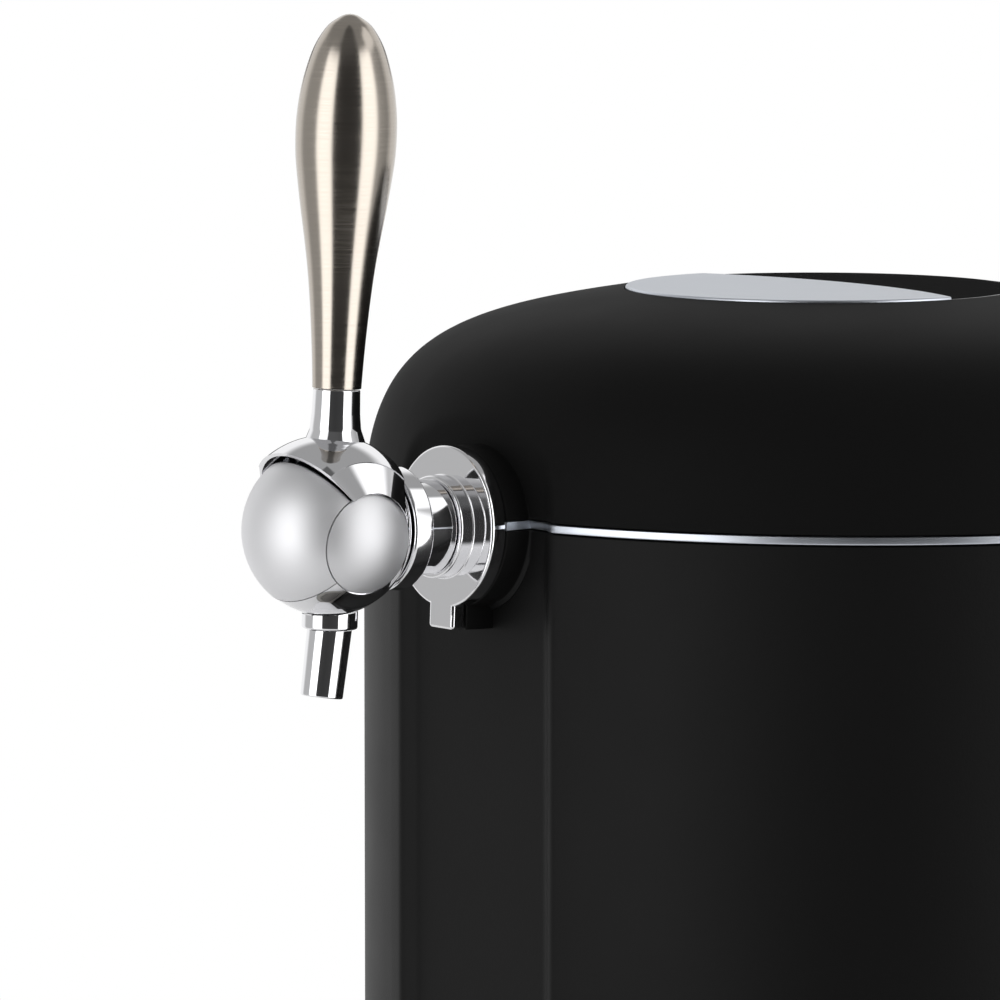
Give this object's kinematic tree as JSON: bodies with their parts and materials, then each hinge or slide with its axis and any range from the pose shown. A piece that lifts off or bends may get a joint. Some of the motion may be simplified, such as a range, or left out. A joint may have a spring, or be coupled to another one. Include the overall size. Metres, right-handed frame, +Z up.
{
  "type": "draught beer dispenser",
  "caption": "Countertop draught dispenser for a five-litre keg: round cooled body with domed hinged lid, chrome ball tap with tall steel lever, pull-out drip tray and rear cooling unit.",
  "frame": {"origin": "centre of the footprint on the counter, on the axis of the round body", "axes": "+Z up, -Y towards the user where the tap and the drip tray are, +X to the object's left as seen from behind"},
  "size_m": [0.274, 0.43, 0.4374],
  "materials": {
    "outer_casing": "matte",
    "trim_ring": "satin",
    "chamber_rim": "satin",
    "keg_liner": "satin",
    "foam_jacket": "matte",
    "base_plate": "matte",
    "foot_1": "matte",
    "foot_2": "matte",
    "foot_3": "matte",
    "foot_4": "matte",
    "tray_dock": "matte",
    "cold_block": "satin",
    "peltier_module": "matte",
    "heat_sink": "satin",
    "fan_frame": "matte",
    "rear_housing": "matte",
    "rear_screw_1": "satin",
    "rear_screw_2": "satin",
    "rear_screw_3": "satin",
    "rear_screw_4": "satin",
    "power_board": "satin",
    "inlet_socket": "matte",
    "switch_frame": "matte",
    "hinge_bracket": "matte",
    "hinge_pin": "satin",
    "tap_flange": "polished",
    "tap_barrel": "polished",
    "shank_nut": "satin",
    "tap_ball": "polished",
    "front_cap": "satin",
    "pivot_cap_left": "satin",
    "pivot_cap_right": "satin",
    "pivot_pin": "satin",
    "nozzle_collar": "polished",
    "nozzle": "polished",
    "tap_elbow": "satin",
    "beer_hose": "satin",
    "keg_coupler": "satin",
    "lid_shell": "matte",
    "lid_liner": "satin",
    "lid_seal": "matte",
    "lid_foam": "matte",
    "touch_board": "satin",
    "silver_top_plate": "satin",
    "control_panel": "gloss",
    "hinge_leaf": "matte",
    "lever_hood": "polished",
    "lever_rod": "satin",
    "lever_neck": "polished",
    "lever_handle": "satin",
    "valve_stem": "satin",
    "valve_seal": "matte",
    "drip_tray": "matte",
    "drip_grid": "satin",
    "fan_rotor": "matte",
    "power_rocker": "gloss"
  },
  "bodies": {
    "body": {"outer_casing": "outer_casing", "trim_ring": "trim_ring", "chamber_rim": "chamber_rim", "keg_liner": "keg_liner", "foam_jacket": "foam_jacket", "base_plate": "base_plate", "foot_1": "foot_1", "foot_2": "foot_2", "foot_3": "foot_3", "foot_4": "foot_4", "tray_dock": "tray_dock", "cold_block": "cold_block", "peltier_module": "peltier_module", "heat_sink": "heat_sink", "fan_frame": "fan_frame", "rear_housing": "rear_housing", "rear_screw_1": "rear_screw_1", "rear_screw_2": "rear_screw_2", "rear_screw_3": "rear_screw_3", "rear_screw_4": "rear_screw_4", "power_board": "power_board", "inlet_socket": "inlet_socket", "switch_frame": "switch_frame", "hinge_bracket": "hinge_bracket", "hinge_pin": "hinge_pin", "tap_flange": "tap_flange", "tap_barrel": "tap_barrel", "shank_nut": "shank_nut", "tap_ball": "tap_ball", "front_cap": "front_cap", "pivot_cap_left": "pivot_cap_left", "pivot_cap_right": "pivot_cap_right", "pivot_pin": "pivot_pin", "nozzle_collar": "nozzle_collar", "nozzle": "nozzle", "tap_elbow": "tap_elbow", "beer_hose": "beer_hose", "keg_coupler": "keg_coupler"},
    "lid": {"lid_shell": "lid_shell", "lid_liner": "lid_liner", "lid_seal": "lid_seal", "lid_foam": "lid_foam", "touch_board": "touch_board", "silver_top_plate": "silver_top_plate", "control_panel": "control_panel", "hinge_leaf": "hinge_leaf"},
    "tap_lever": {"lever_hood": "lever_hood", "lever_rod": "lever_rod", "lever_neck": "lever_neck", "lever_handle": "lever_handle"},
    "valve": {"valve_stem": "valve_stem", "valve_seal": "valve_seal"},
    "tray": {"drip_tray": "drip_tray"},
    "grid": {"drip_grid": "drip_grid"},
    "rotor": {"fan_rotor": "fan_rotor"},
    "rocker": {"power_rocker": "power_rocker"}
  },
  "joints": [
    {"name": "lid_hinge", "type": "hinge", "parent": "body", "child": "lid", "pos_m": [0, 0.1455, 0.3], "axis": [-1, 0, 0], "range_deg": [0, 80]},
    {"name": "tap_lever_hinge", "type": "hinge", "parent": "body", "child": "tap_lever", "pos_m": [0, -0.182, 0.3], "axis": [1, 0, 0], "range_deg": [0, 30]},
    {"name": "valve_slide", "type": "slide", "parent": "body", "child": "valve", "axis": [0, 0.0401, 0.9992], "range_m": [0, 0.003]},
    {"name": "drip_tray_slide", "type": "slide", "parent": "body", "child": "tray", "axis": [0, -1, 0], "range_m": [0, 0.085]},
    {"name": "drip_grid_lift", "type": "slide", "parent": "tray", "child": "grid", "axis": [0, 0, 1], "range_m": [0, 0.03]},
    {"name": "fan_spin", "type": "hinge", "parent": "body", "child": "rotor", "pos_m": [0, 0.1686, 0.165], "axis": [0, 1, 0], "continuous": true},
    {"name": "power_switch_rock", "type": "hinge", "parent": "body", "child": "rocker", "pos_m": [0.034, 0.2092, 0.066], "axis": [1, 0, 0], "range_deg": [0, 16]}
  ],
  "couplings": [
    {"joint": "valve_slide", "follows": "tap_lever_hinge", "m_per_rad": 0.0057}
  ]
}
